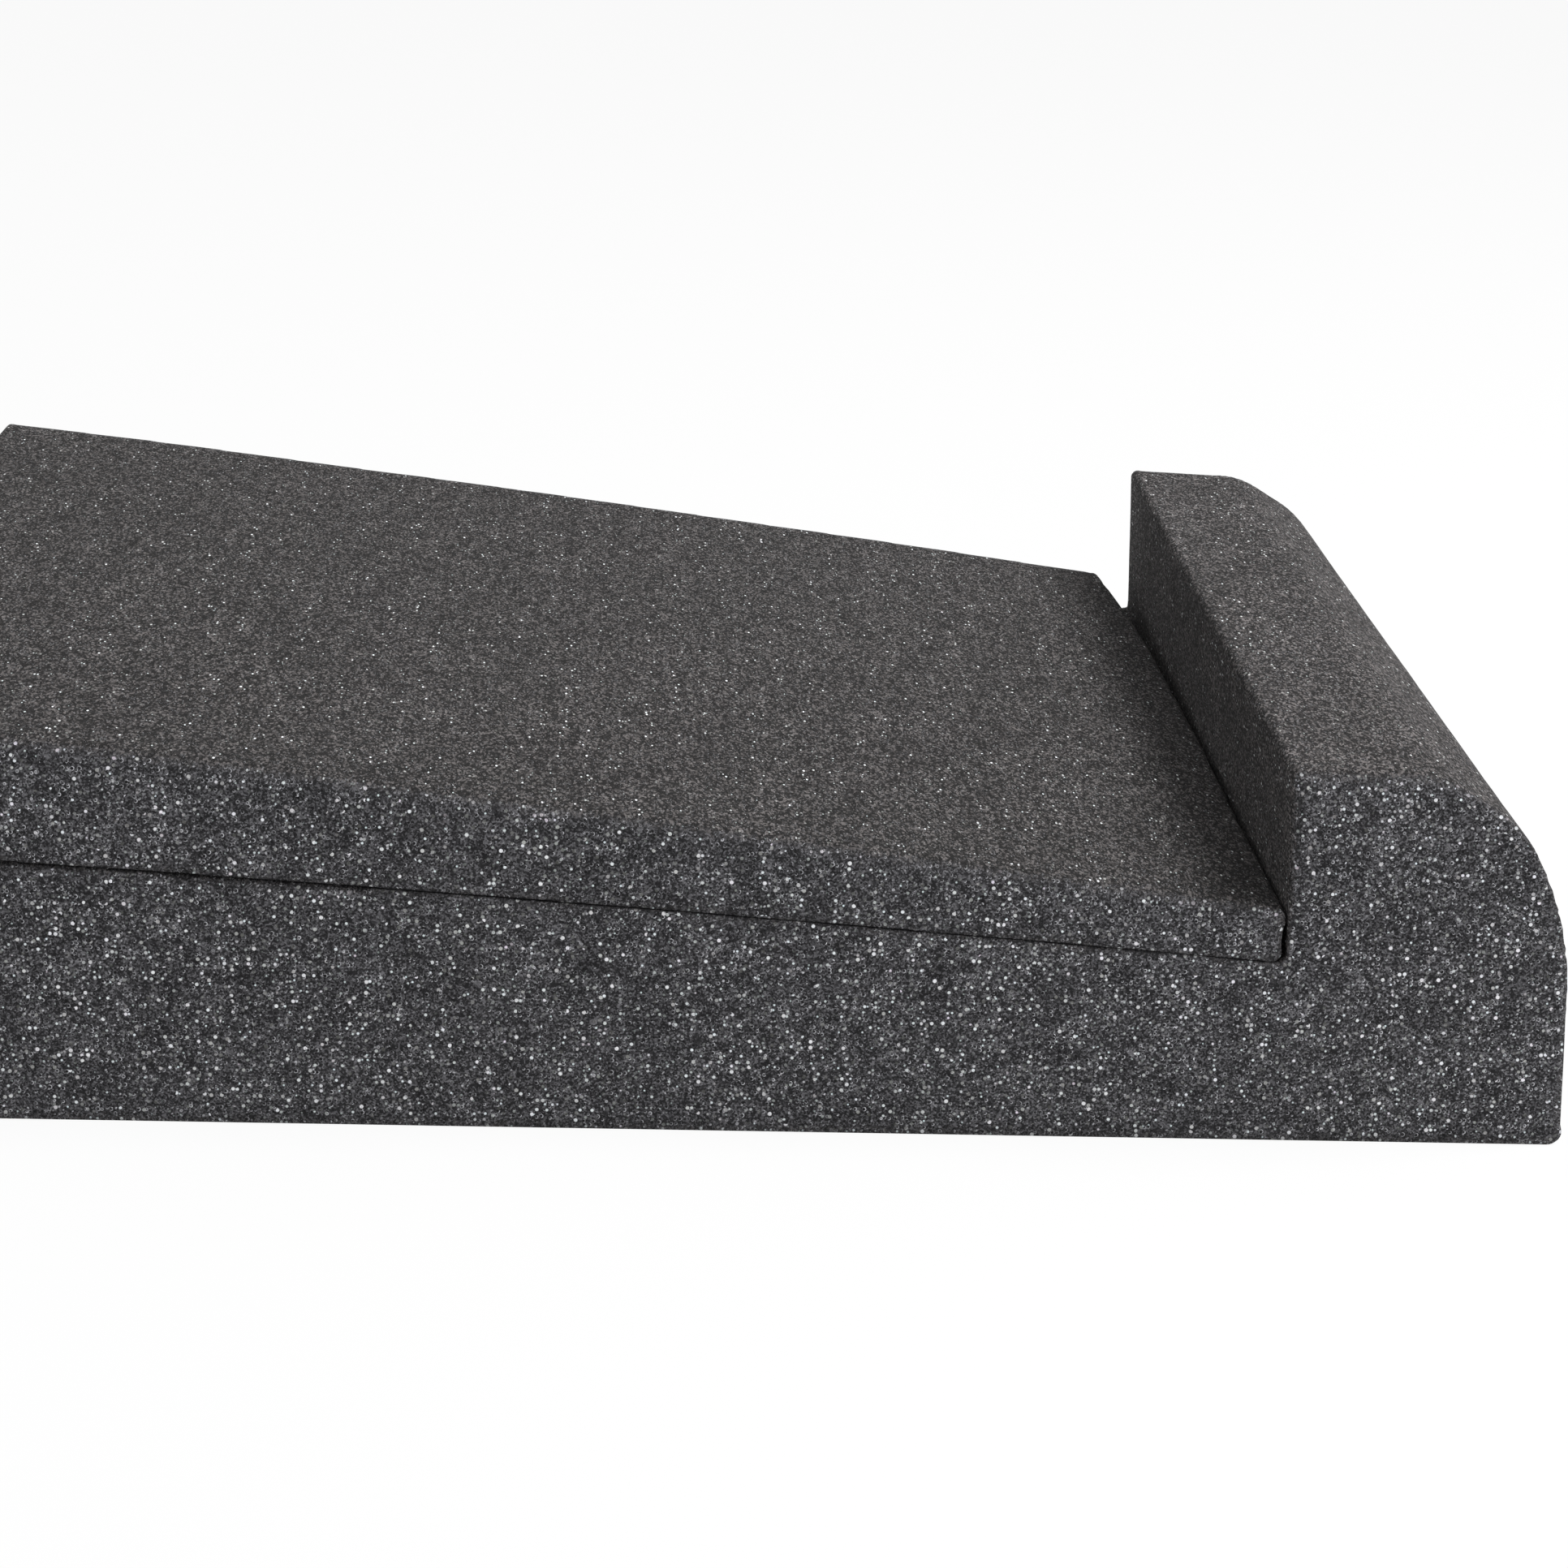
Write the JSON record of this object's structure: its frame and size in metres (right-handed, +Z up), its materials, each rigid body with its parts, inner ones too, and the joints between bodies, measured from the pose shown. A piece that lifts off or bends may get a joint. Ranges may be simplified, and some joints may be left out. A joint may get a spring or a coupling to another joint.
{
  "type": "speaker isolation pad",
  "caption": "Foam isolation pad for a desktop loudspeaker: a sloped block with a raised stop across its front, and a loose wedge that lies on the slope behind the stop.",
  "frame": {"origin": "the middle of the pad's outline, on the surface that it stands on", "axes": "+X towards the raised stop at the front, +Y across the pad, +Z up"},
  "size_m": [0.281, 0.22, 0.0653],
  "materials": {
    "base_foam": "matte",
    "wedge_foam": "matte"
  },
  "bodies": {
    "root": {"base_pad": "base_foam", "wedge_pad": "wedge_foam"}
  },
  "joints": []
}
